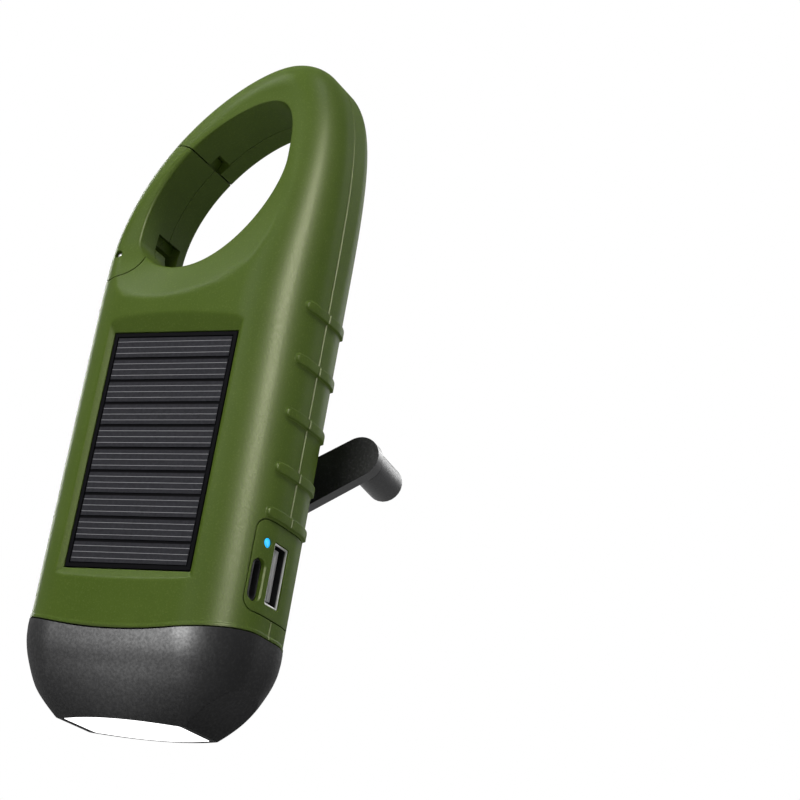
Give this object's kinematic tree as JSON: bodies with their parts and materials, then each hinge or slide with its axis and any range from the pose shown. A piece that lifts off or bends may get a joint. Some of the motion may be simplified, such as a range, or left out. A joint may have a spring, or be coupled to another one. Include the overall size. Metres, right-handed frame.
{
  "type": "hand crank flashlight",
  "caption": "Olive hand crank flashlight with a solar panel, socket panel, folding crank and a ring handle with a sprung gate; it stands on its lamp head.",
  "frame": {"origin": "middle of the lamp head's flat end face, on which the object stands", "axes": "+Z from the lamp to the ring, -Y out of the front with the solar panel, +Y out of the back with the crank, +X out of the side with the sockets"},
  "size_m": [0.061, 0.0559, 0.1517],
  "materials": {
    "shell": "satin olive green with a fine moulded texture",
    "head_plastic": "charcoal with a fine grain",
    "panel": "black border of the laminated panel",
    "cells": "dark grey solar strips",
    "steel": "plated steel",
    "socket_insert": "light grey moulding",
    "black_plastic": "black moulding",
    "crank_plastic": "black with a fine grain",
    "knob_plastic": "dark grey",
    "pilot_lens": "lit blue",
    "lamp_lens": "clear and lit white",
    "reflector": "metallised",
    "circuit_board": "green lacquer",
    "cell_wrap": "shrunk sleeve",
    "rubber": "matt",
    "brass": "turned",
    "gear_plastic": "natural",
    "magnet": "dark sintered magnet",
    "copper": "enamelled copper wire"
  },
  "bodies": {
    "housing": {"front_shell": "shell", "back_shell": "shell", "port_panel": "shell", "solar_panel": "panel", "solar_cells": "cells", "usb_a_shell": "steel", "usb_a_tongue": "socket_insert", "charge_socket_shell": "steel", "charge_socket_tongue": "black_plastic", "pilot_light": "pilot_lens", "main_board": "circuit_board", "rechargeable_cell": "cell_wrap", "cell_contact_bottom": "steel", "cell_contact_top": "steel", "tact_switch": "black_plastic", "switch_board": "circuit_board", "head_shell": "head_plastic", "lens": "lamp_lens", "reflector": "reflector", "lamp_board": "circuit_board", "lamp_diode_1": "lamp_lens", "lamp_diode_2": "lamp_lens", "lamp_diode_3": "lamp_lens", "gate_pin": "steel", "gate_spring": "steel", "shaft_bush": "brass", "gear_plate": "black_plastic", "idler_axle_1": "steel", "idler_axle_2": "steel", "generator_case": "steel", "generator_winding": "copper", "case_screw_1": "steel", "case_screw_2": "steel", "case_screw_3": "steel", "case_screw_4": "steel", "case_screw_5": "steel", "plate_screw_1": "steel", "plate_screw_2": "steel"},
    "gate": {"gate_front": "shell", "gate_back": "shell"},
    "button": {"switch_button": "rubber"},
    "crank": {"crank_hub": "crank_plastic", "crank_shaft": "steel", "hub_screw": "steel", "crank_gear": "gear_plastic"},
    "arm": {"crank_arm": "crank_plastic", "arm_hinge_pin": "steel", "knob_screw": "steel"},
    "knob": {"crank_knob": "knob_plastic"},
    "idler_1": {"idler_gear_1": "gear_plastic"},
    "idler_2": {"idler_gear_2": "gear_plastic"},
    "rotor": {"rotor_pinion": "brass", "magnet_rotor": "magnet"}
  },
  "joints": [
    {"name": "crank_spin", "type": "hinge", "parent": "housing", "child": "crank", "pos_m": [0, 0, 0.0503], "axis": [0, 1, 0], "continuous": true},
    {"name": "crank_fold", "type": "hinge", "parent": "crank", "child": "arm", "pos_m": [0.00551, 0.0205, 0.05374], "axis": [-0.5299, 0, 0.848], "range_deg": [0, 95]},
    {"name": "knob_spin", "type": "hinge", "parent": "arm", "child": "knob", "pos_m": [0.02832, 0.02285, 0.068], "axis": [-0.0739, 0.9962, -0.0462], "continuous": true},
    {"name": "idler_1_spin", "type": "hinge", "parent": "housing", "child": "idler_1", "pos_m": [0.01324, 0.0094, 0.04326], "axis": [0, 1, 0], "continuous": true},
    {"name": "idler_2_spin", "type": "hinge", "parent": "housing", "child": "idler_2", "pos_m": [0.01465, 0.008, 0.05467], "axis": [0, 1, 0], "continuous": true},
    {"name": "rotor_spin", "type": "hinge", "parent": "housing", "child": "rotor", "pos_m": [0.01065, 0, 0.06324], "axis": [0, 1, 0], "continuous": true},
    {"name": "gate_swing", "type": "hinge", "parent": "housing", "child": "gate", "pos_m": [-0.0208, 0, 0.1025], "axis": [0, 1, 0], "range_deg": [0, 30], "stiffness_Nm_per_rad": 0.06, "springref_deg": -14.32},
    {"name": "button_press", "type": "slide", "parent": "housing", "child": "button", "axis": [1, 0, 0], "range_m": [0, 0.0009], "stiffness_N_per_m": 400, "springref_m": -0.0005}
  ],
  "couplings": [
    {"joint": "idler_1_spin", "follows": "crank_spin", "ratio": -4},
    {"joint": "idler_2_spin", "follows": "crank_spin", "ratio": 14.4},
    {"joint": "rotor_spin", "follows": "crank_spin", "ratio": -46.08}
  ]
}
